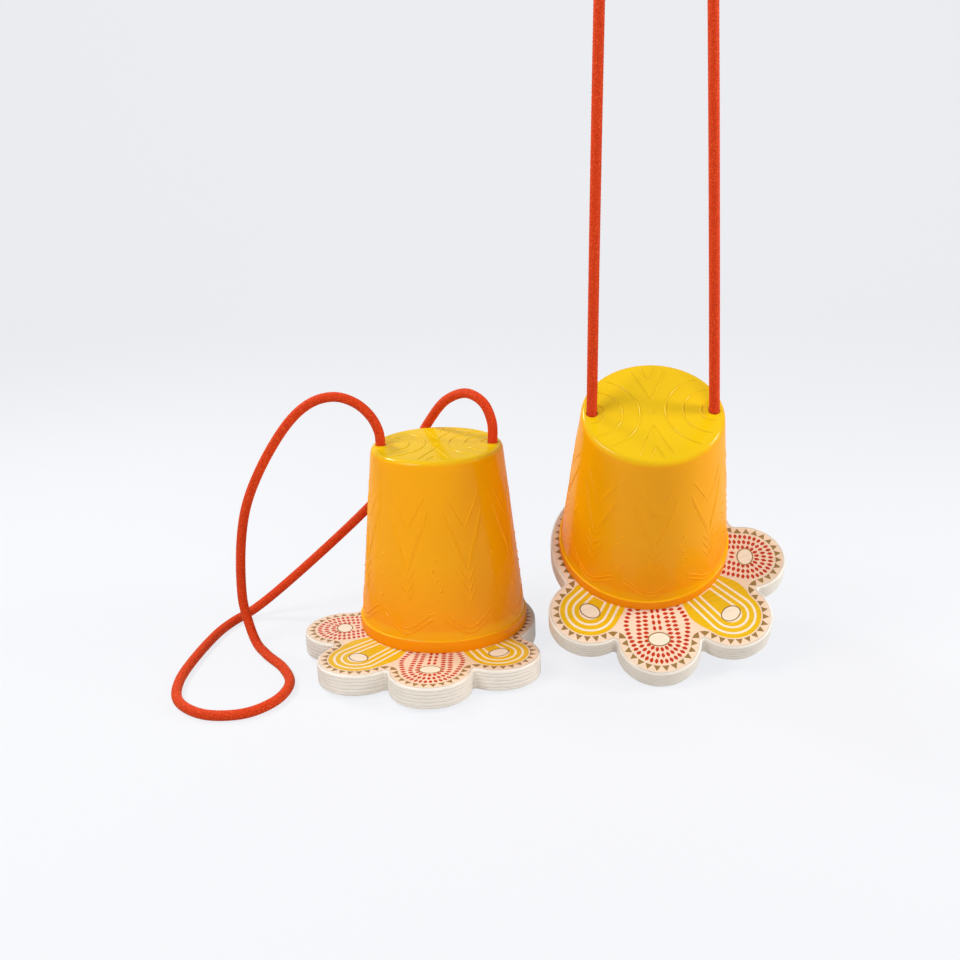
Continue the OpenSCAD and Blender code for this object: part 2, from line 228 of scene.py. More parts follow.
class StageSettings(bpy.types.PropertyGroup):
    azimuth: in_degrees("Azimuth", "Camera's turn from the front", 2.33)
    elevation: in_degrees("Elevation", "Camera's height angle", 17.79)
    roll: in_degrees("Roll", "Camera's turn about its own axis", -1.98)
    distance: in_mm("Distance", "Camera's distance from its aim", 900)
    aim: as_vector(
        "Aim", "Point that the camera looks at", (-0.042, 0.0183, 0.1204), subtype="TRANSLATION"
    )
    focal_length: as_number("Focal length", "Camera's focal length", 48.94, unit="CAMERA")
    floor: as_colour("Floor", "Colour that the floor and backdrop show", (0.955, 0.965, 1.0))
    lit_floor: as_share("Lit floor", "Paleness of the floor as the lights show it", 0.7)
    floor_bounce: as_share("Floor bounce", "Share of its light that the floor gives back", 0.6)
    even_floor: as_share("Even floor", "Share of the floor that no light changes", 0.82)
    key_power: in_watts("Key power", "Power of the main light", 7.7)
    side_power: in_watts("Side power", "Power of each light beside the pair", 4.2)
    front_power: in_watts("Front power", "Power of the light far in front", 26)
    beyond: as_share("Beyond", "Brightness that the camera sees beyond the floor", 0.86)
    ambient: as_share("Ambient", "Strength of the light from all round", 0.2)


# Shaping tools


def new_object(name, data, place=Matrix.Identity(4)):
    item = bpy.data.objects.new(name, data)
    bpy.context.scene.collection.objects.link(item)
    item.matrix_world = place
    return item


class Shape:
    """Points, faces, UVs and finishes gathered for one mesh."""

    def __init__(self):
        self.points, self.faces, self.uvs, self.slots, self.smooth = [], [], [], [], []
        self.count = 0

    def add_points(self, points):
        """Adds points and gives the first one's number."""
        points = np.asarray(points, float).reshape(-1, 3)
        self.points.append(points)
        self.count += len(points)
        return self.count - len(points)

    def add_face(self, face, uvs, slot=0, smooth=True):
        self.faces.append(list(face))
        self.uvs.append(list(uvs))
        self.slots.append(slot)
        self.smooth.append(smooth)

    def add_grid(self, grid, v, u=None, closed=True, capped=True, slot=0):
        """Quads over rows of points. closed joins each row's ends, capped fills both end rows."""
        rows, columns = grid.shape[:2]
        u = np.linspace(0, 1, columns + closed) if u is None else u
        first = self.add_points(grid)
        i, j = (part.ravel() for part in np.indices((rows - 1, columns - (not closed))))
        corners = [(i + down, j + across) for down, across in ((0, 0), (0, 1), (1, 1), (1, 0))]
        quads = np.stack([first + row * columns + column % columns for row, column in corners], -1)
        places = np.stack([np.stack([u[column], v[row]], -1) for row, column in corners], 1)
        self.faces.extend(quads.tolist())
        self.uvs.extend(places.tolist())
        self.slots.extend([slot] * len(quads))
        self.smooth.extend([True] * len(quads))
        if capped:
            last = first + (rows - 1) * columns
            self.add_face(range(first, first + columns)[::-1], [(u[0], v[0])] * columns, slot)
            self.add_face(range(last, last + columns), [(u[0], v[-1])] * columns, slot)

    def build(
        self, name, materials, place=Matrix.Identity(4), sharp=SHARP_EDGE, weld=0.0, cutters=()
    ):
        """The finished object without the cutters' shapes, with its place in its mesh."""
        mesh = bpy.data.meshes.new(name)
        mesh.from_pydata(np.concatenate(self.points).tolist(), [], self.faces)
        corners = np.array([corner for face in self.uvs for corner in face], np.float32)
        mesh.uv_layers.new(name="finish").data.foreach_set("uv", corners.ravel())
        mesh.polygons.foreach_set("material_index", self.slots)
        mesh.polygons.foreach_set("use_smooth", self.smooth)
        for material in materials:
            mesh.materials.append(material)
        work = bmesh.new()
        work.from_mesh(mesh)
        if weld:
            bmesh.ops.remove_doubles(work, verts=work.verts, dist=weld)
        bmesh.ops.recalc_face_normals(work, faces=work.faces)
        work.to_mesh(mesh)
        work.free()
        piece = new_object(name, mesh)
        bpy.context.view_layer.objects.active = piece
        for cutter in cutters:
            cut = piece.modifiers.new("cut", "BOOLEAN")
            cut.operation, cut.solver, cut.object = "DIFFERENCE", "EXACT", cutter
            bpy.ops.object.modifier_apply(modifier=cut.name)
            bpy.data.objects.remove(cutter)
        piece.data.transform(place)
        piece.data.set_sharp_from_angle(angle=math.radians(sharp))
        return piece


def arc_points(radius, angles, centre=(0, 0)):
    """Points of a circle at given angles, as an array of pairs."""
    return np.array(centre) + radius * np.stack([np.cos(angles), np.sin(angles)], -1)


def bearing(start, end):
    """The angle of the way from one point to another."""
    return math.atan2(end.y - start.y, end.x - start.x)


def circle_points(radius, count, centre=(0, 0), start=0.0):
    """Even points all round a circle."""
    return arc_points(radius, start + np.arange(count) * 2 * math.pi / count, centre)


def at_height(pairs, height):
    """Pairs of a flat ring as points at one height."""
    return np.column_stack([pairs, np.full(len(pairs), height)])


def turned_rows(profile, count, base, centre=(0, 0), start=0.0):
    """Rings of a turned shape. Its profile is pairs of a radius and a height above the base."""
    return np.stack([
        at_height(circle_points(radius, count, centre, start), base + height)
        for radius, height in profile
    ])


def moved(points, matrix):
    """Points put through a matrix."""
    return np.array([matrix @ Vector(point) for point in points])


def lengths_along(line):
    """The distance of each of a line's points from its start."""
    return np.concatenate([[0], np.cumsum(np.linalg.norm(np.diff(line, axis=0), axis=1))])


def place_on(line, lengths, place):
    """Where a place or places lie on a line, as distances from its start."""
    return np.stack([np.interp(place, lengths, axis) for axis in line.T], -1)


def smooth_line(route, spacing):
    """The smooth curve through a route's points, as evenly spaced points."""
    points = np.array(route, float)
    points = np.vstack([2 * points[0] - points[1], points, 2 * points[-1] - points[-2]])
    gaps = np.sqrt(np.linalg.norm(np.diff(points, axis=0), axis=1))
    fine = []
    for k in range(len(points) - 3):
        t = np.concatenate([[0], np.cumsum(gaps[k:k + 3])])
        at = np.linspace(t[1], t[2], 24, endpoint=False)[:, None]
        blends = points[k:k + 4]
        for spans in (((0, 1), (1, 2), (2, 3)), ((0, 2), (1, 3)), ((1, 2),)):
            blends = [
                ((t[b] - at) * left + (at - t[a]) * right) / (t[b] - t[a])
                for (a, b), left, right in zip(spans, blends, blends[1:])
            ]
        fine.append(blends[0])
    fine = np.vstack(fine + [points[-2:-1]])
    lengths = lengths_along(fine)
    steps = np.linspace(0, lengths[-1], max(3, round(lengths[-1] / spacing)))
    return place_on(fine, lengths, steps)


def side_vectors(line, closed):
    """Two directions across a line at each of its points, which turn with it without twist."""
    if closed:
        along = np.roll(line, -1, axis=0) - np.roll(line, 1, axis=0)
    else:
        along = np.gradient(line, axis=0)
    along /= np.linalg.norm(along, axis=1)[:, None]
    across = np.zeros_like(line)
    side = np.array([0.0, 1.0, 0.0]) if abs(along[0][1]) < 0.9 else np.array([1.0, 0.0, 0.0])
    for i, direction in enumerate(along):
        side = side - side.dot(direction) * direction
        side = side / np.linalg.norm(side)
        across[i] = side
    return across, np.cross(along, across)


def stands_for(piece, body, slot, *nodes):
    """The piece rides on a body and replaces CAD nodes. The slot is not used."""
    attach(piece, body)
    if nodes:
        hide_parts(*nodes)


def refinish(material, *words):
    """Gives one material to the CAD pieces that have one of the words in their names."""
    for name, node in frame["nodes"].items():
        if any(word in name for word in words):
            node.data.materials.clear()
            node.data.materials.append(material)


# Finishes


def put_in(tree, node, inputs):
    """Sets a node's inputs, each to a value or a link."""
    for name, value in inputs.items():
        if isinstance(value, bpy.types.NodeSocket):
            tree.links.new(value, node.inputs[name])
        else:
            node.inputs[name].default_value = value


def add_node(tree, kind, inputs={}, **settings):
    node = tree.nodes.new("ShaderNode" + kind)
    for key, value in settings.items():
        setattr(node, key, value)
    put_in(tree, node, inputs)
    return node


def new_finish(name, colour, roughness, inputs={}):
    """A material with its node tree and its shader, whose constants are on its own sockets."""
    material = bpy.data.materials.new(name)
    material.use_nodes = True
    tree = material.node_tree
    shader = tree.nodes["Principled BSDF"]
    put_in(tree, shader, {"Base Color": (*colour, 1), "Roughness": roughness, **inputs})
    return material, tree, shader


def shaded(colour, share):
    """A darker or lighter colour."""
    return tuple(min(1, share * channel) for channel in colour)


def maths(tree, operation, *values):
    node = add_node(tree, "Math", dict(enumerate(values)), operation=operation)
    return node.outputs[0]


def noise(tree, source, scale, detail):
    inputs = {"Scale": scale, "Detail": detail, "Vector": source}
    return add_node(tree, "TexNoise", inputs).outputs["Fac"]


def grain_marks(tree, place, stretch, detail):
    """Noise drawn out into grain."""
    drawn = add_node(tree, "Mapping", {"Scale": stretch, "Vector": place})
    return noise(tree, drawn.outputs["Vector"], 1.0, detail)


def ramp(tree, source, stops):
    """Colours at given places, blended between them."""
    node = add_node(tree, "ValToRGB", {"Fac": source})
    elements = node.color_ramp.elements
    while len(elements) < len(stops):
        elements.new(0.5)
    for element, (place, colour) in zip(elements, stops):
        element.position = place
        element.color = (*colour, 1)
    return node.outputs["Color"]


def bump(tree, height, distance, strength):
    inputs = {"Distance": distance, "Strength": strength, "Height": height}
    return add_node(tree, "Bump", inputs).outputs["Normal"]


def object_place(tree):
    return add_node(tree, "TexCoord").outputs["Object"]


def uv_parts(tree):
    """A piece's UV place, and its height: the V alone."""
    place = add_node(tree, "UVMap", uv_map="finish").outputs["UV"]
    parts = add_node(tree, "SeparateXYZ", {"Vector": place})
    return place, parts.outputs["Y"]


def scaled(tree, source, high, inputs={}):
    """Maps a value from 0 up to high to a share of 0 to 1, or to other ends."""
    node = add_node(tree, "MapRange", {"From Max": high, "Value": source, **inputs})
    return node.outputs["Result"]


def show_mixed(tree, output, share, first, second):
    """Gives an output a mix of two shader nodes."""
    inputs = {"Fac": share, 1: first.outputs[0], 2: second.outputs[0]}
    mix = add_node(tree, "MixShader", inputs)
    put_in(tree, tree.nodes[output], {"Surface": mix.outputs["Shader"]})


def background_rays(tree):
    """1 for the rays that show the background: straight, off a gloss or through glass."""
    rays = add_node(tree, "LightPath").outputs
    straight_or_gloss = maths(tree, "MAXIMUM", rays["Is Camera Ray"], rays["Is Glossy Ray"])
    return maths(tree, "MAXIMUM", straight_or_gloss, rays["Is Transmission Ray"])


def moulded_plastic(settings):
    """Plastic with a thin gloss and faint flow marks. Its colour holds painted light: a yellower
    top, a painted highlight on the ledge, and painted shade that deepens the foot.
    """
    side, top = settings.side_colour, settings.lit_top_colour
    material, tree, shader = new_finish("moulded_plastic", side, 0.19, {
        "Specular IOR Level": 0,
        "Coat Weight": 0.3,
        "Coat Roughness": 0.16,
    })
    _, height = uv_parts(tree)
    share = scaled(tree, height, FINISH_HEIGHT)
    # Painted shade at the foot, then the side's own colour, then painted light on the top and the
    # ledge
    stops = [(0, settings.shaded_foot_colour), (0.4, side), (0.845, side), (0.866, top), (1, top)]
    marks = bump(tree, noise(tree, object_place(tree), 45, 2), 0.25 * MM, 0.2)
    put_in(tree, shader, {
        "Base Color": ramp(tree, share, stops), "Normal": marks, "Coat Normal": marks
    })
    return material


def printed_ink(name, colour):
    """Satin print on lacquered plywood, a little uneven, with the grain just showing."""
    material, tree, shader = new_finish(name, colour, 0.42, {"Specular IOR Level": 0.25})
    place, _ = uv_parts(tree)
    grain = grain_marks(tree, place, (60, 900, 1), 5)
    put_in(tree, shader, {
        "Base Color": ramp(tree, grain, [(0.3, shaded(colour, 0.9)), (0.7, shaded(colour, 1.05))]),
        "Normal": bump(tree, grain, 0.05 * MM, 0.5),
    })
    return material


def lacquered_plies(settings):
    """Pale plywood edge: thin darker glue lines between plies, and short grain marks."""
    edge = tuple(settings.edge_colour)
    material, tree, shader = new_finish("lacquered_plies", edge, 0.4)
    place, height = uv_parts(tree)
    ply = scaled(tree, height, BOARD_THICK, {"To Max": settings.plies})
    wavy = maths(tree, "MULTIPLY_ADD", noise(tree, place, 60, 2), 0.35, ply)
    glue_line = [(0, edge), (0.08, edge), (0.16, shaded(edge, 0.62)), (0.24, edge), (1, edge)]
    grain = grain_marks(tree, place, (150, 1500, 1), 4)
    both = add_node(tree, "Mix", {
        "Factor": 1,
        6: ramp(tree, maths(tree, "FRACT", wavy), glue_line),
        7: ramp(tree, grain, [(0.35, (0.93, 0.92, 0.9)), (0.65, (1, 1, 1))]),
    }, data_type="RGBA", blend_type="MULTIPLY")
    put_in(tree, shader, {
        "Base Color": both.outputs[2], "Normal": bump(tree, grain, 0.08 * MM, 0.4)
    })
    return material


def speckled(name, colour, roughness, scale, detail, stops, relief, strength, inputs={}):
    """A finish with a fine speckle in its colour and surface."""
    material, tree, shader = new_finish(name, colour, roughness, inputs)
    speckle = noise(tree, object_place(tree), scale, detail)
    put_in(tree, shader, {
        "Base Color": ramp(tree, speckle, stops), "Normal": bump(tree, speckle, relief, strength)
    })
    return material


def braided_yarn(settings):
    """Dull yarn with fine darker and lighter flecks."""
    main = tuple(settings.colour)
    stops = [(0.3, shaded(main, 0.6)), (0.45, main), (0.58, main), (0.75, settings.light_yarn)]
    return speckled("braided_yarn", main, 0.72, 1200, 2, stops, 0.25 * MM, 0.8, {
        "Specular IOR Level": 0.15,
        "Sheen Weight": 0.35,
        "Sheen Roughness": 0.4,
        "Sheen Tint": (1, 0.45, 0.2, 1),
    })


def grip_rubber(settings):
    dark = tuple(settings.rubber)
    stops = [(0.35, dark), (0.7, shaded(dark, 2.2))]
    return speckled("grip_rubber", dark, 0.62, 1400, 3, stops, 0.12 * MM, 0.6)


def zinc_plate(settings):
    bright = tuple(settings.zinc)
    stops = [(0.3, shaded(bright, 0.75)), (0.7, bright)]
    return speckled("zinc_plate", bright, 0.34, 2500, 2, stops, 0.03 * MM, 0.5, {"Metallic": 1})


# Cords

CORD_STEP = 0.5 * MM
COLUMNS_PER_STRAND = 5
# A knot's middle, inwards from its hole and down from the top, and how its turns and tail lean
KNOT_IN, KNOT_DOWN = 4.7 * MM, 10.3 * MM
KNOT_TURNS = ((28, 0), (-62, 24))
KNOT_POINTS = 54
TAIL_LEAN = (168, 20)
STUB_LENGTH, TAIL_LENGTH = 7 * MM, 18 * MM


def braid_heights(settings, turn, run):
    """How far the strands stand out, from 0 to 1, at shares of a turn and lengths of the run."""
    one_way = settings.strands * (turn - run / settings.pitch)
    other_way = settings.strands * (turn + run / settings.pitch)
    over = (np.floor(one_way) + np.floor(other_way)) % 2 == 0
    across = np.where(over, one_way, other_way) % 1 - 0.5
    lengthways = np.where(over, other_way, one_way) % 1 - 0.5
    crown = np.clip(np.cos(math.pi * across), 0, 1) ** 0.6
    dive = 0.45 + 0.55 * np.clip(np.cos(math.pi * lengthways), 0, 1) ** 0.7
    return crown * dive


def add_braid(shape, settings, line, closed=False):
    """A braided cord along a line. Open ends are rounded off."""
    across, up = side_vectors(line, closed)
    run = lengths_along(line)
    columns = settings.strands * COLUMNS_PER_STRAND
    turn = np.arange(columns) / columns
    radius = settings.diameter / 2
    reach = radius - settings.relief * (1 - braid_heights(settings, turn[None, :], run[:, None]))
    if not closed:
        short = np.clip(np.minimum(run, run[-1] - run) / radius, 0, 1)
        reach = reach * np.sqrt(np.clip(1 - (1 - short) ** 2, 0.003, 1))[:, None]
    angle = 2 * math.pi * turn[None, :, None]
    ring = across[:, None] * np.cos(angle) + up[:, None] * np.sin(angle)
    rows = line[:, None] + ring * reach[:, :, None]
    if closed:
        rows = np.concatenate([rows, rows[:1]])
        run = np.append(run, run[-1] + run[1])
    shape.add_grid(rows, run, capped=not closed)


def leaned(about_x, about_y):
    """A turn about X after one about Y, both in degrees."""
    first = Matrix.Rotation(math.radians(about_y), 4, "Y")
    return Matrix.Rotation(math.radians(about_x), 4, "X") @ first


class STILTS_OT_cords(bpy.types.Operator):
    """Both handles: braided cord along its route, rounded where it enters the holes"""

    bl_idname = "stilts.cords"
    bl_label = "Cords"

    def execute(self, context):
        settings = context.scene.stilt_cord
        yarn = braided_yarn(settings)
        left = np.array(LEFT_ROUTE) + np.array(PLACES["left"].translation)
        rise = np.array([(x * MM - HOLE_X, 0, z * MM) for x, z in RIGHT_RISE])
        fall = rise[-2::-1] * (-1, 1, 1)
        right = np.vstack([rise, fall]) + np.array(HOLE_LINE)
        for side, body, route in (("left", "left_stilt", left), ("right", "right_handle", right)):
            line = smooth_line(route, CORD_STEP)
            sink = settings.diameter / 2 + (line[0][2] - HOLE_LINE.z if side == "right" else 0)
            drop = np.linspace(sink, CORD_STEP, round(sink / CORD_STEP))[:, None] * (0, 0, 1)
            line = np.vstack([line[0] - drop, line, (line[-1] - drop)[::-1]])
            shape = Shape()
            add_braid(shape, settings, line)
            piece = shape.build(side + "_braided_cord", [yarn], sharp=180)
            stands_for(piece, body, "cord", side + "_cord")
            self.knots(settings, side, yarn)
        return {"FINISHED"}

    def knots(self, settings, side, yarn):
        """The two ends inside the pot: down through the hole, two crossed turns and a tail."""
        centre = Matrix.Translation((HOLE_X - KNOT_IN, 0, POT_TOP - KNOT_DOWN))
        stub_top = POT_TOP - settings.diameter / 2
        stub = [(HOLE_X, 0, stub_top - down) for down in np.linspace(0, STUB_LENGTH, 8)]
        tail = [(0, 0, out) for out in np.linspace(0, TAIL_LENGTH, 10)]
        tail = moved(tail, centre @ leaned(*TAIL_LEAN))
        ring = at_height(circle_points(settings.knot_ring, KNOT_POINTS), 0)
        shape = Shape()
        for half_turn in (0, math.pi):
            spin = Matrix.Rotation(half_turn, 4, "Z")
            for route in (stub, tail):
                add_braid(shape, settings, smooth_line(moved(route, spin), CORD_STEP))
            for lean in KNOT_TURNS:
                line = moved(ring, spin @ centre @ leaned(*lean))
                add_braid(shape, settings, line, closed=True)
        piece = shape.build(side + "_cord_knots", [yarn], PLACES[side], sharp=180)
        stands_for(piece, side + "_stilt", "cord", side + "_knots")
        return [piece]


# Pots

# A pot's V picks its colour. It is the height, so the foot gets painted shade; the flat top has a
# value of its own for painted light and the ledge one for a painted highlight
FINISH_HEIGHT = 150 * MM
LIT_TOP_V = POT_HEIGHT + 1 * MM
LEDGE_HIGHLIGHT_V = POT_HEIGHT - 1.75 * MM
# Radii of the rings on top and under it, in mm
TOP_RINGS = (2, 10, 20, 30, 38)
CEILING_RINGS = (36, 25, 14, 2)
POT_COLUMNS = 192
BORE_COLUMNS = 48
BORE_ENDS = (130 * MM, 160 * MM)
CORNER = 0.6 * MM
LEDGE_ROUNDING = 0.8 * MM
EIGHTH = math.pi / 4
# The side's chevrons: foot, apex and half the width in degrees. Heights are in mm
CHEVRONS = ((84, 108, 15), (58, 98, 17), (54, 93, 16), (47, 57, 6), (40, 50, 6), (33, 43, 6))
WAVES, WAVE_HEIGHT = (18, 22), 6
# The side's dots: height in mm, and how far they sway to a side
DOTS = ((36, 0), (43, 0.05), (50, 0), (57, -0.05), (64, 0))
DOT_RADIUS, MIDDLE_DOT_RADIUS = 0.9 * MM, 1.6 * MM
# The top's chevrons: apex, rise and half the width in mm
TOP_CHEVRONS = ((11, 27, 11), (29, 11.5, 5))
RING_POINTS = 220
RING_RADII = (8.5 * MM, 19.5 * MM, 30.5 * MM)
# A raised line's fade at its ends, and how deep its edges and its underside lie
LINE_FADE = 1.5 * MM
LINE_SINK = 0.03 * MM
LINE_BURY = 0.25 * MM
LINE_STEPS = (-1.0, -0.8, -0.5, -0.2, 0.2, 0.5, 0.8, 1.0)
# A dome's rings, as shares of its radius and rise
DOME = ((1.0, -0.5), (1.0, 0.0), (0.8, 0.45), (0.5, 0.8), (0.15, 1.0))


def pot_outline(settings):
    """Outside and inside of the pot from the middle of the top round to the middle inside."""
    edge = settings.edge_radius
    foot = Vector((POT_BASE_R - settings.band_step, settings.band_height))
    shoulder = Vector((settings.top_diameter / 2 - edge, POT_HEIGHT - edge))
    run = (shoulder - foot).length
    lean = bearing(foot, shoulder) - math.asin(edge / run)
    meet = foot + math.sqrt(run ** 2 - edge ** 2) * Vector((math.cos(lean), math.sin(lean)))
    last = bearing(shoulder, meet)
    ledge_middle = (POT_BASE_R - LEDGE_ROUNDING, foot.y - LEDGE_ROUNDING)
    outside = [
        *((r * MM, POT_HEIGHT) for r in TOP_RINGS),
        *arc_points(edge, np.linspace(math.pi / 2, last, 9), shoulder),
        *(meet.lerp(foot, k / 16) for k in range(1, 16)),
        (foot.x + 0.1 * CORNER, foot.y + 0.3 * CORNER), (foot.x + 0.4 * CORNER, foot.y),
        *arc_points(LEDGE_ROUNDING, np.linspace(math.pi / 2, 0, 6), ledge_middle),
        (POT_BASE_R, foot.y / 2), (POT_BASE_R, CORNER),
        (POT_BASE_R - 0.4 * CORNER, 0.2 * CORNER), (POT_BASE_R - CORNER, 0),
    ]
    base_inner = foot.x - settings.side_wall
    top_inner = settings.top_diameter / 2 - settings.side_wall
    ceiling = POT_HEIGHT - settings.top_wall
    inside = [
        (base_inner + 0.3 * CORNER, 0), (base_inner, 0.3 * CORNER),
        *((base_inner + (top_inner - base_inner) * k / 12, ceiling * k / 12) for k in range(1, 12)),
        (top_inner - 0.2 * CORNER, ceiling - CORNER), (top_inner - 2 * CORNER, ceiling),
        *((r * MM, ceiling) for r in CEILING_RINGS),
    ]
    return np.array([tuple(point) for point in outside + inside])


def side_points(settings, angles, heights):
    """Points on the pot's tapered side, and the ways out from it."""
    low, high = POT_BASE_R - settings.band_step, settings.top_diameter / 2
    slope = (low - high) / (POT_HEIGHT - settings.edge_radius - settings.band_height)
    radii = low - slope * (heights - settings.band_height)
    out = arc_points(1, angles)
    points = np.column_stack([out * radii[:, None], BOARD_TOP + heights])
    return points, at_height(out, slope) / math.hypot(1, slope)


def add_raised_line(shape, settings, points, normals, v, share=1.0):
    """A half-round line on a surface, faded out at both ends."""
    along = np.gradient(points, axis=0)
    along /= np.linalg.norm(along, axis=1)[:, None]
    across = np.cross(along, normals)
    run = lengths_along(points)
    fade = np.clip(np.minimum(run, run[-1] - run) / LINE_FADE, 0, 1)
    fade = (fade * fade * (3 - 2 * fade))[:, None]
    half = across * settings.line_width / 2
    rows = []
    for step in LINE_STEPS:
        rise = share * settings.line_height * (1 - step * step) * fade - LINE_SINK
        rows.append(points + half * step + normals * rise)
    rows += [points + half * step - normals * LINE_BURY for step in (1, -1)]
    shape.add_grid(np.stack(rows, 1), v)


def add_dome(shape, centre, normal, radius, rise, v):
    """A low round dome on a surface."""
    turn = Vector(normal).to_track_quat("Z", "Y").to_matrix()
    rings = turned_rows([(radius * reach, rise * height) for reach, height in DOME], 16, 0)
    rows = np.array([moved(ring, turn) for ring in rings]) + centre
    shape.add_grid(rows, np.full(len(DOME), v))


def side_lines(phase):
    """Large and small chevrons over waves, eight times round the side: angles and heights in mm."""
    lines = []
    for k in range(8):
        centre = (k + 0.5) * EIGHTH + phase
        for low, high, half in CHEVRONS:
            for hand in (-1, 1):
                lines.append([(centre + hand * math.radians(half) * s, low + (high - low) * s)
                              for s in np.linspace(0.04, 1, 16)])
        for base in WAVES:
            lines.append([(centre + EIGHTH * s, base - WAVE_HEIGHT * math.cos(2 * math.pi * s))
                          for s in np.linspace(-0.44, 0.44, 26)])
    return lines


def side_dots(phase):
    """Rows of dots between the chevrons: angles and heights in mm."""
    return [(k * EIGHTH + phase + sway, height) for k in range(8) for height, sway in DOTS]


def top_lines(settings):
    """Rings round each cord hole and chevrons between them, kept on the flat of the top."""
    flat = settings.top_diameter / 2 - settings.edge_radius
    lines = []
    for x in (-HOLE_X, HOLE_X):
        for radius in RING_RADII:
            start = 0 if x < 0 else math.pi
            angles = np.linspace(start, start + 2 * math.pi, RING_POINTS)
            # Rolled so that the line ends at the ring's outer side
            ring = np.roll(arc_points(radius, angles, (x, 0)), RING_POINTS // 2, axis=0)
            lines.append(ring[np.hypot(*ring.T) < flat])
    for hand in (-1, 1):
        for apex, rise, half in TOP_CHEVRONS:
            for way in (-1, 1):
                lines.append([(way * half * s * MM, hand * (apex + rise * s) * MM)
                              for s in np.linspace(0, 1, 24)])
    return lines


def screw_places(fittings, turn=0.0):
    """The middles of the four screws, turned back by an angle."""
    return arc_points(fittings.screw_ring, np.radians((45, 135, 225, 315)) - turn)


class STILTS_OT_pots(bpy.types.Operator):
    """Both pots: moulded shell with cord holes, screw bosses and raised lines"""

    bl_idname = "stilts.pots"
    bl_label = "Pots"

    def execute(self, context):
        settings = context.scene.stilt_pot
        fittings = context.scene.stilt_fittings
        plastic = moulded_plastic(settings)
        for side in SIDES:
            body = side + "_stilt"
            stands_for(self.shell(settings, side, plastic), body, "pot", side + "_pot")
            stands_for(self.bosses(fittings, side, plastic), body, "pot")
            stands_for(self.lines(settings, side, plastic), body, "pot")
        return {"FINISHED"}

    def shell(self, settings, side, plastic):
        outline = pot_outline(settings)
        radius, height = outline.T
        v = np.minimum(height, POT_HEIGHT)
        # Painted light: the flat top takes the yellower top colour
        v[:len(TOP_RINGS) + 1] = LIT_TOP_V
        # Painted highlight: the ledge's rounded edge takes a colour halfway to the top's
        ledge_highlight = np.abs(height - settings.band_height) < 0.25 * MM
        v[ledge_highlight & (radius > POT_BASE_R - 2 * MM)] = LEDGE_HIGHLIGHT_V
        shape = Shape()
        shape.add_grid(turned_rows(outline, POT_COLUMNS, BOARD_TOP), v)
        bore_profile = [(settings.hole_diameter / 2, end) for end in BORE_ENDS]
        cutters = []
        for x in (-HOLE_X, HOLE_X):
            # Half a column's turn keeps the bore's points off the shell's
            rows = turned_rows(bore_profile, BORE_COLUMNS, 0, (x, 0), math.pi / BORE_COLUMNS)
            bore = Shape()
            bore.add_grid(rows, np.full(2, POT_HEIGHT))
            cutters.append(bore.build("bore", [plastic]))
        return shape.build(side + "_pot_shell", [plastic], PLACES[side], cutters=cutters)

    def bosses(self, fittings, side, plastic):
        shape = Shape()
        radius, top, rim = fittings.boss_diameter / 2, fittings.boss_height, 0.5 * MM
        profile = (
            (radius, 0.02 * MM), (radius, top - rim),
            (radius - 0.3 * rim, top - 0.3 * rim), (radius - rim, top),
        )
        for centre in screw_places(fittings):
            # A V of 0 gives the bosses the foot's painted shade
            shape.add_grid(turned_rows(profile, 32, BOARD_TOP, centre), np.zeros(4))
        return shape.build(side + "_pot_bosses", [plastic], PLACES[side])

    def lines(self, settings, side, plastic):
        shape = Shape()
        phase = 0 if side == "left" else EIGHTH / 2
        for line in side_lines(phase):
            angles, heights = np.array(line).T * [[1], [MM]]
            side_line = side_points(settings, angles, heights)
            add_raised_line(shape, settings, *side_line, heights, settings.side_share)
        angles, heights = np.array(side_dots(phase)).T * [[1], [MM]]
        for place, normal, z in zip(*side_points(settings, angles, heights), heights):
            add_dome(shape, place, normal, DOT_RADIUS, settings.line_height, z)
        # The middle dot and the top's raised lines take the top's painted light
        middle, up = (0, 0, POT_TOP), (0, 0, 1)
        add_dome(shape, middle, up, MIDDLE_DOT_RADIUS, settings.line_height, POT_HEIGHT)
        for line in top_lines(settings):
            normals, v = np.full((len(line), 3), up), np.full(len(line), LIT_TOP_V)
            add_raised_line(shape, settings, at_height(line, POT_TOP), normals, v)
        return shape.build(side + "_pot_raised_lines", [plastic], PLACES[side], sharp=60)


# Paw boards

TOES = (-1.5, -0.5, 0.5, 1.5)
GROUND, BROWN, YELLOW, RED, IVORY, EDGE = range(6)
# A tooth's tip, middle and root, inwards from the board's edge, and half its width as a share
TOOTH_INSETS = (2.6 * MM, 4.8 * MM, 6.9 * MM)
TOOTH_HALF = 0.44
TOOTH_STEP = 0.5 * MM
# How far the arches of a yellow toe lie in from its panel's outline, in mm
ARCH_INSETS = (0, 3.2, 4.8, 8.0, 9.6, 12.8, 14.4)
SEED_SIZE = (4.1 * MM, 2.4 * MM)
SEED_ROW = 4.7 * MM
SEED_INSET = 2.5 * MM
# The two rows down a toe's middle: start from the toe's middle, and half the gap between them
MIDDLE_ROWS = (9 * MM, 1.9 * MM)
# Half the gap between two toes' panels, how far they reach under the pot, the place of their
# corners inwards from the toe's middle, and the first inset at which a line has no corners
PANEL_GAP = 0.7 * MM
UNDER_POT = 1.5 * MM
CORNERS_IN = 10 * MM
ROUND_INSET = 3 * MM
PANEL_STEP = 0.8 * MM
# Dips between plies, in mm: height from the glue line, and depth
PLY_DIPS = ((-0.35, 0), (0, 0.14), (0.35, 0))
# A pointed oval and a plain one, with sides of 2
SEED = [(hand * k / 6, hand * (1 - (k / 6) ** 2)) for hand in (1, -1) for k in range(-6, 6)]
OVAL = circle_points(1, 28)
CLAW_SIZE = (15.4 * MM, 11.6 * MM)
CLAW_LINE = 0.9 * MM


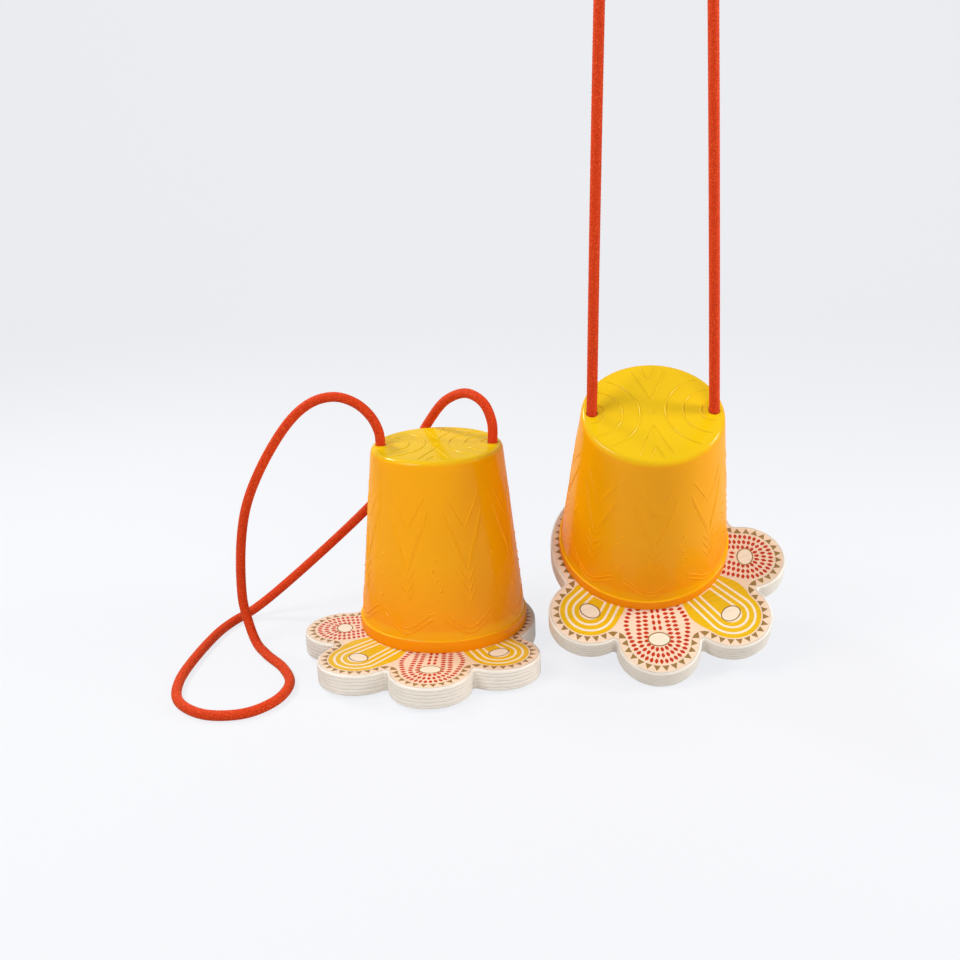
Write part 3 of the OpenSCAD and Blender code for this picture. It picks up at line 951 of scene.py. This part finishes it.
def leftwards(way):
    return Vector((-way.y, way.x))


def toe_frame(settings, n):
    """Toe n's middle, the way out to it and the way to its left. n runs from -1.5 to 1.5."""
    reach = settings.middle_reach if abs(n) < 1 else settings.outer_reach
    angle = n * settings.toe_pitch
    way = Vector((math.sin(angle), -math.cos(angle)))
    return reach * way, way, leftwards(way)


class PawOutline:
    """The paw's outline as arcs of circles, which an inset moves inwards."""

    def __init__(self, settings):
        self.circles = [(Vector((0, 0)), settings.heel_radius)]
        self.circles += [(toe_frame(settings, n)[0], settings.toe_radius) for n in TOES]
        fillets = [settings.heel_fillet] + [settings.toe_fillet] * 3 + [settings.heel_fillet]
        self.fillets = []
        for k, radius in enumerate(fillets):
            (a, ra), (b, rb) = self.circles[k], self.circles[(k + 1) % 5]
            gap = (b - a).length
            p, q = ra + radius, rb + radius
            along = (gap * gap + p * p - q * q) / (2 * gap)
            out = math.sqrt(p * p - along * along)
            way = (b - a) / gap
            self.fillets.append((a + along * way - out * leftwards(way), radius))

    def arcs(self):
        """Each arc: centre, radius, how the inset changes it, first angle and sweep."""
        for k, (centre, radius) in enumerate(self.circles):
            before, _ = self.fillets[k - 1]
            after, fillet = self.fillets[k]
            following, _ = self.circles[(k + 1) % 5]
            first, last = bearing(centre, before), bearing(centre, after)
            yield centre, radius, -1, first, (last - first) % (2 * math.pi)
            first, last = bearing(after, centre), bearing(after, following)
            yield after, fillet, 1, first, -((first - last) % (2 * math.pi))

    def points(self, inset, step=1.6 * MM):
        """Points of the outline at an inset. Their number doesn't depend on the inset."""
        found = []
        for centre, radius, change, first, sweep in self.arcs():
            count = max(6, round(abs(sweep) * (radius + 2 * MM) / step))
            angles = first + sweep * np.arange(count) / count
            found.append(arc_points(radius + change * inset, angles, centre))
        return np.vstack(found)


def arch_line(settings, n, inset):
    """Line round toe n's panel from the pot and back to it, moved inwards by an inset.

    Only a line near the panel's own outline keeps its corners at the valleys between toes.
    """
    has_corners = inset < ROUND_INSET
    centre, way, left = toe_frame(settings, n)
    radius = settings.toe_radius - settings.border - inset
    half = settings.toe_pitch / 2
    points = []
    for hand in (-1, 1):
        side = hand * left
        edge = math.cos(half) * way + math.sin(half) * side
        inwards = math.sin(half) * way - math.cos(half) * side
        near, far = (
            edge * reach + inwards * (inset + PANEL_GAP)
            for reach in (POT_BASE_R - UNDER_POT, centre.length - CORNERS_IN)
        )
        gap = (far if has_corners else near) - centre
        first = math.atan2(gap.dot(side), -gap.dot(way)) + math.acos(min(1, radius / gap.length))
        arc = [
            centre + radius * (math.sin(a) * side - math.cos(a) * way)
            for a in np.linspace(first, math.pi, 20)
        ]
        line = [near, far, *arc] if has_corners else [near, *arc]
        points += line if hand < 0 else line[-2::-1]
    return smooth_line([(*p, 0) for p in points], PANEL_STEP)[:, :2]


def laid_out(points, centre, way, length, width):
    """A small shape laid along a way, from points of a shape with sides of 2."""
    ahead, aside = way * length / 2, leftwards(way) * width / 2
    return [tuple(centre + ahead * x + aside * y) for x, y in points]


def border_teeth(outline, tooth_pitch):
    """Teeth round the board's edge, points outwards."""
    rings = [outline.points(inset, TOOTH_STEP) for inset in TOOTH_INSETS]
    tips, middle, roots = (np.vstack([ring, ring[:1]]) for ring in rings)
    lengths = lengths_along(middle)
    count = round(lengths[-1] / tooth_pitch)
    pitch = lengths[-1] / count
    corners = ((roots, -TOOTH_HALF), (tips, 0), (roots, TOOTH_HALF), (roots, 0))
    return [
        [place_on(ring, lengths, (k + shift) * pitch % lengths[-1]) for ring, shift in corners]
        for k in range(count)
    ]


def rows_of_seeds(settings, n):
    """Red marks in rows that follow the outline of toe n's panel, and two rows down its middle."""
    marks = []
    for k in range(3):
        line = arch_line(settings, n, SEED_INSET + k * SEED_ROW)
        lengths = lengths_along(line)
        count = round(lengths[-1] / settings.mark_pitch)
        places = (np.arange(count) + (0.25 if k % 2 else 0.75)) * lengths[-1] / count
        for place in places:
            here, ahead = (Vector(place_on(line, lengths, s)) for s in (place, place + 0.3 * MM))
            marks.append((here, leftwards((ahead - here).normalized())))
    centre, way, left = toe_frame(settings, n)
    first, half_gap = MIDDLE_ROWS
    for k in range(5):
        for hand in (-1, 1):
            marks.append((centre - way * (first + SEED_ROW * k) + left * hand * half_gap, way))
    shown = (mark for mark in marks if mark[0].length > POT_BASE_R - 1 * MM)
    return [laid_out(SEED, *mark, *SEED_SIZE) for mark in shown]


def toe_print(settings, n, is_red):
    """One toe's shapes, lowest first: outline, colour, and whether it stays in the border."""
    centre, _, side = toe_frame(settings, n)
    if is_red:
        shapes = [(arch_line(settings, n, 0), GROUND, True)]
        shapes += [(mark, RED, True) for mark in rows_of_seeds(settings, n)]
    else:
        shapes = [
            (arch_line(settings, n, inset * MM), IVORY if k % 2 else YELLOW, True)
            for k, inset in enumerate(ARCH_INSETS)
        ]
    for colour, inset in ((BROWN, 0), (IVORY, CLAW_LINE)):
        length, width = (size - 2 * inset for size in CLAW_SIZE)
        shapes.append((laid_out(OVAL, centre, side, length, width), colour, True))
    return shapes


def add_flat(shape, outline, openings, field, prints, z):
    """A flat face with openings, divided along the printed shapes. Some stay within the field."""
    points, loops = [], []
    for loop in [outline, field, *openings, *(print_loop for print_loop, _, _ in prints)]:
        loops.append(list(range(len(points), len(points) + len(loop))))
        after = np.roll(loop, -1, axis=0)
        clockwise = np.sum(np.array(loop) @ [[0, -1], [1, 0]] * after) > 0
        points.extend(Vector(p) for p in (loop[::-1] if clockwise else loop))
    found, _, faces, _, _, owners = delaunay_2d_cdt(points, [], loops, 1, 1e-8)
    first_print = 2 + len(openings)
    base = shape.add_points([(p.x, p.y, z) for p in found])
    for face, owner in zip(faces, owners):
        if 0 not in owner or any(2 <= k < first_print for k in owner):
            continue
        covers = (k - first_print for k in owner if k >= first_print)
        seen = [k for k in covers if 1 in owner or not prints[k][2]]
        colour = prints[max(seen)][1] if seen else GROUND
        corners = [tuple(found[k]) for k in face]
        shape.add_face([base + k for k in face], corners, colour, smooth=False)


class STILTS_OT_paw_boards(bpy.types.Operator):
    """Both paw boards: rounded plywood with its printed top, large hole and screw holes"""

    bl_idname = "stilts.paw_boards"
    bl_label = "Paw Boards"

    def execute(self, context):
        settings = context.scene.stilt_board
        fittings = context.scene.stilt_fittings
        inks = [
            printed_ink("print_" + name, getattr(settings, name))
            for name in ("ground", "brown", "yellow", "red", "ivory")
        ]
        inks.append(lacquered_plies(settings))
        outline = PawOutline(settings)
        rim, field = outline.points(settings.edge_radius), outline.points(settings.border)
        for side in SIDES:
            shape = Shape()
            self.add_edge(shape, settings, outline)
            feet, tops = zip(*self.add_openings(shape, settings, fittings, side))
            teeth = border_teeth(outline, settings.tooth_pitch)
            prints = [(tooth, BROWN, False) for tooth in teeth]
            for k, n in enumerate(TOES):
                prints += toe_print(settings, n, (k % 2 == 0) == (side == "left"))
            add_flat(shape, rim, tops, field, prints, BOARD_TOP)
            add_flat(shape, rim, feet, field, [], PAD_TOP)
            place = PLACES[side] @ Matrix.Rotation(TURN[side] * settings.splay, 4, "Z")
            piece = shape.build(side + "_printed_board", inks, place, weld=0.003 * MM)
            stands_for(piece, side + "_stilt", "plywood", side + "_paw_board")
        return {"FINISHED"}

    def add_edge(self, shape, settings, outline):
        """The board's outer edge, rounded at top and bottom, with shallow dips between plies."""
        edge = settings.edge_radius
        profile = list(arc_points(edge, np.linspace(-math.pi / 2, -math.pi, 6), (edge, edge)))
        for ply in range(1, settings.plies):
            joint = BOARD_THICK * ply / settings.plies
            for offset, dip in PLY_DIPS:
                profile.append((dip * MM, joint + offset * MM))
        profile += [(inset, BOARD_THICK - rise) for inset, rise in reversed(profile[:6])]
        insets, heights = np.array(profile).T
        rings = [at_height(outline.points(inset), PAD_TOP) for inset in insets]
        grid = np.stack(rings) + heights[:, None, None] * (0, 0, 1)
        round_rim = lengths_along(np.vstack([grid[0], grid[0][:1]]))
        shape.add_grid(grid, heights, round_rim, capped=False, slot=EDGE)

    def add_openings(self, shape, settings, fittings, side):
        """Walls of the large hole and the screw holes. Gives each one's foot and top outline."""
        radius = settings.hole_diameter / 2
        profile = (
            (radius + CORNER, 0), (radius + 0.2 * CORNER, 0.2 * CORNER),
            (radius, CORNER), (radius, BOARD_THICK),
        )
        openings = [self.add_bore(shape, profile, (0, 0), 128)]
        slack = 0.05 * MM
        head, shank = fittings.head_diameter / 2, fittings.screw_diameter / 2
        profile = ((head + slack, 0), (shank + slack, head - shank), (shank + slack, BOARD_THICK))
        for centre in screw_places(fittings, TURN[side] * settings.splay):
            openings.append(self.add_bore(shape, profile, centre, 24))
        return openings

    def add_bore(self, shape, profile, centre, count):
        rows = turned_rows(profile, count, PAD_TOP, centre)
        heights = np.array(profile)[:, 1]
        shape.add_grid(rows, heights, np.linspace(0, 0.3, count + 1), capped=False, slot=EDGE)
        return rows[0][:, :2], rows[-1][:, :2]


# Grip pads and screws


class STILTS_OT_grip_pads(bpy.types.Operator):
    """Grip pads and heel strips under both boards: black rubber on the CAD pieces"""

    bl_idname = "stilts.grip_pads"
    bl_label = "Grip Pads"

    def execute(self, context):
        refinish(grip_rubber(context.scene.stilt_fittings), "toe_pad", "heel_strip")
        return {"FINISHED"}


class STILTS_OT_screws(bpy.types.Operator):
    """Screws of both stilts: zinc plate on the CAD pieces"""

    bl_idname = "stilts.screws"
    bl_label = "Screws"

    def execute(self, context):
        refinish(zinc_plate(context.scene.stilt_fittings), "screws")
        return {"FINISHED"}


# Stage

# The floor's front and back edges, the radius of its bend, the backdrop's top and half the width
FLOOR_FRONT, FLOOR_BACK, BEND, BACKDROP_TOP, HALF_WIDTH = -3.0, 1.2, 0.8, 3.5, 4.0
FLOOR_DROP = 0.1 * MM
AMBIENT_COLOUR = (1, 0.95, 0.88, 1)
LAMPS_AIM = Vector((0, 0, 0.1))
# Name, place, width and height, and the setting of its power
LAMPS = (
    ("key", (-0.72, -0.45, 0.95), (0.5, 0.5), "key_power"),
    ("left", (-0.6, 0.4, 0.75), (0.2, 0.2), "side_power"),
    ("right", (0.75, -0.1, 0.5), (0.2, 0.3), "side_power"),
    ("front", (0.7, -2.5, 1.1), (1.4, 0.6), "front_power"),
)


def facing(way):
    """The turn that points an object's Z along a way."""
    return way.to_track_quat("Z", "Y").to_matrix().to_4x4()


class STILTS_OT_camera(bpy.types.Operator):
    """Camera at the photographed angle"""

    bl_idname = "stilts.camera"
    bl_label = "Camera"

    def execute(self, context):
        settings = context.scene.stilt_stage
        az, el = settings.azimuth, settings.elevation
        back = Vector((math.sin(az) * math.cos(el), -math.cos(az) * math.cos(el), math.sin(el)))
        data = bpy.data.cameras.new("camera")
        data.sensor_width = 36
        data.lens = settings.focal_length
        data.clip_start = 0.01
        place = Matrix.Translation(Vector(settings.aim) + settings.distance * back)
        place = place @ facing(back) @ Matrix.Rotation(settings.roll, 4, "Z")
        context.scene.camera = new_object("camera", data, place)
        return {"FINISHED"}


class STILTS_OT_stage(bpy.types.Operator):
    """Pale floor that curves up into a backdrop, and soft lights"""

    bl_idname = "stilts.stage"
    bl_label = "Stage"

    def execute(self, context):
        settings = context.scene.stilt_stage
        self.sweep(settings)
        self.surroundings(context, settings)
        self.lamps(settings)
        context.scene.view_settings.view_transform = "Standard"
        return {"FINISHED"}

    def sweep(self, settings):
        """The floor and backdrop: paler to the rays that show the background than to the light."""
        bounce = settings.floor_bounce
        material, tree, shader = new_finish(
            "floor_paper", [bounce] * 3, 0.9, {"Specular IOR Level": 0}
        )
        shown = background_rays(tree)
        ends = {"To Min": bounce, "To Max": settings.lit_floor}
        put_in(tree, shader, {"Base Color": scaled(tree, shown, 1, ends)})
        glow = add_node(tree, "Emission", {"Color": (*settings.floor, 1)})
        even = maths(tree, "MULTIPLY", shown, settings.even_floor)
        show_mixed(tree, "Material Output", even, shader, glow)
        bend = arc_points(BEND, np.linspace(0.1 - math.pi / 2, 0, 12), (FLOOR_BACK, BEND))
        profile = [(FLOOR_FRONT, 0), (FLOOR_BACK, 0), *bend, (FLOOR_BACK + BEND, BACKDROP_TOP)]
        rows = [[(x, y, z - FLOOR_DROP) for x in (-HALF_WIDTH, HALF_WIDTH)] for y, z in profile]
        shape = Shape()
        shape.add_grid(np.array(rows), np.linspace(0, 1, len(rows)), closed=False, capped=False)
        shape.build("floor", [material])

    def surroundings(self, context, settings):
        """A dim light from all round, and the floor's colour where the background shows."""
        world = bpy.data.worlds.new("studio")
        context.scene.world = world
        world.use_nodes = True
        tree = world.node_tree
        around = tree.nodes["Background"]
        put_in(tree, around, {"Color": AMBIENT_COLOUR, "Strength": settings.ambient})
        beyond = add_node(tree, "Background", {
            "Color": (*settings.floor, 1), "Strength": settings.beyond
        })
        show_mixed(tree, "World Output", background_rays(tree), around, beyond)

    def lamps(self, settings):
        """Area lights that face the pair. The gloss doesn't show the one in front."""
        for name, place, size, power in LAMPS:
            data = bpy.data.lights.new(name, "AREA")
            data.shape = "RECTANGLE"
            data.size, data.size_y = size
            data.energy = getattr(settings, power)
            turn = facing(Vector(place) - LAMPS_AIM)
            lamp = new_object(name, data, Matrix.Translation(place) @ turn)
            lamp.visible_glossy = name != "front"


class STILTS_PT_panel(bpy.types.Panel):
    """Lists the pieces and their settings"""

    bl_idname = "STILTS_PT_panel"
    bl_label = "Tin Can Stilts"
    bl_space_type = "VIEW_3D"
    bl_region_type = "UI"
    bl_category = "Stilts"

    def draw(self, context):
        for operator, group in STEPS:
            self.layout.operator(operator.bl_idname)
            settings = getattr(context.scene, group)
            for name in settings.bl_rna.properties.keys():
                if name not in ("rna_type", "name"):
                    self.layout.prop(settings, name)


GROUPS = {
    "stilt_cord": CordSettings,
    "stilt_pot": PotSettings,
    "stilt_board": BoardSettings,
    "stilt_fittings": FittingSettings,
    "stilt_stage": StageSettings,
}
STEPS = (
    (STILTS_OT_camera, "stilt_stage"),
    (STILTS_OT_cords, "stilt_cord"),
    (STILTS_OT_pots, "stilt_pot"),
    (STILTS_OT_paw_boards, "stilt_board"),
    (STILTS_OT_grip_pads, "stilt_fittings"),
    (STILTS_OT_screws, "stilt_fittings"),
    (STILTS_OT_stage, "stilt_stage"),
)
CLASSES = (*GROUPS.values(), *(operator for operator, _ in STEPS), STILTS_PT_panel)


def register():
    for kind in CLASSES:
        bpy.utils.register_class(kind)
    for name, group in GROUPS.items():
        setattr(bpy.types.Scene, name, PointerProperty(type=group))


def unregister():
    for name in GROUPS:
        delattr(bpy.types.Scene, name)
    for kind in reversed(CLASSES):
        bpy.utils.unregister_class(kind)


def main():
    register()
    for operator, _ in STEPS:
        group, name = operator.bl_idname.split(".")
        getattr(getattr(bpy.ops, group), name)()
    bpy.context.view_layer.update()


if __name__ == "__main__":
    main()
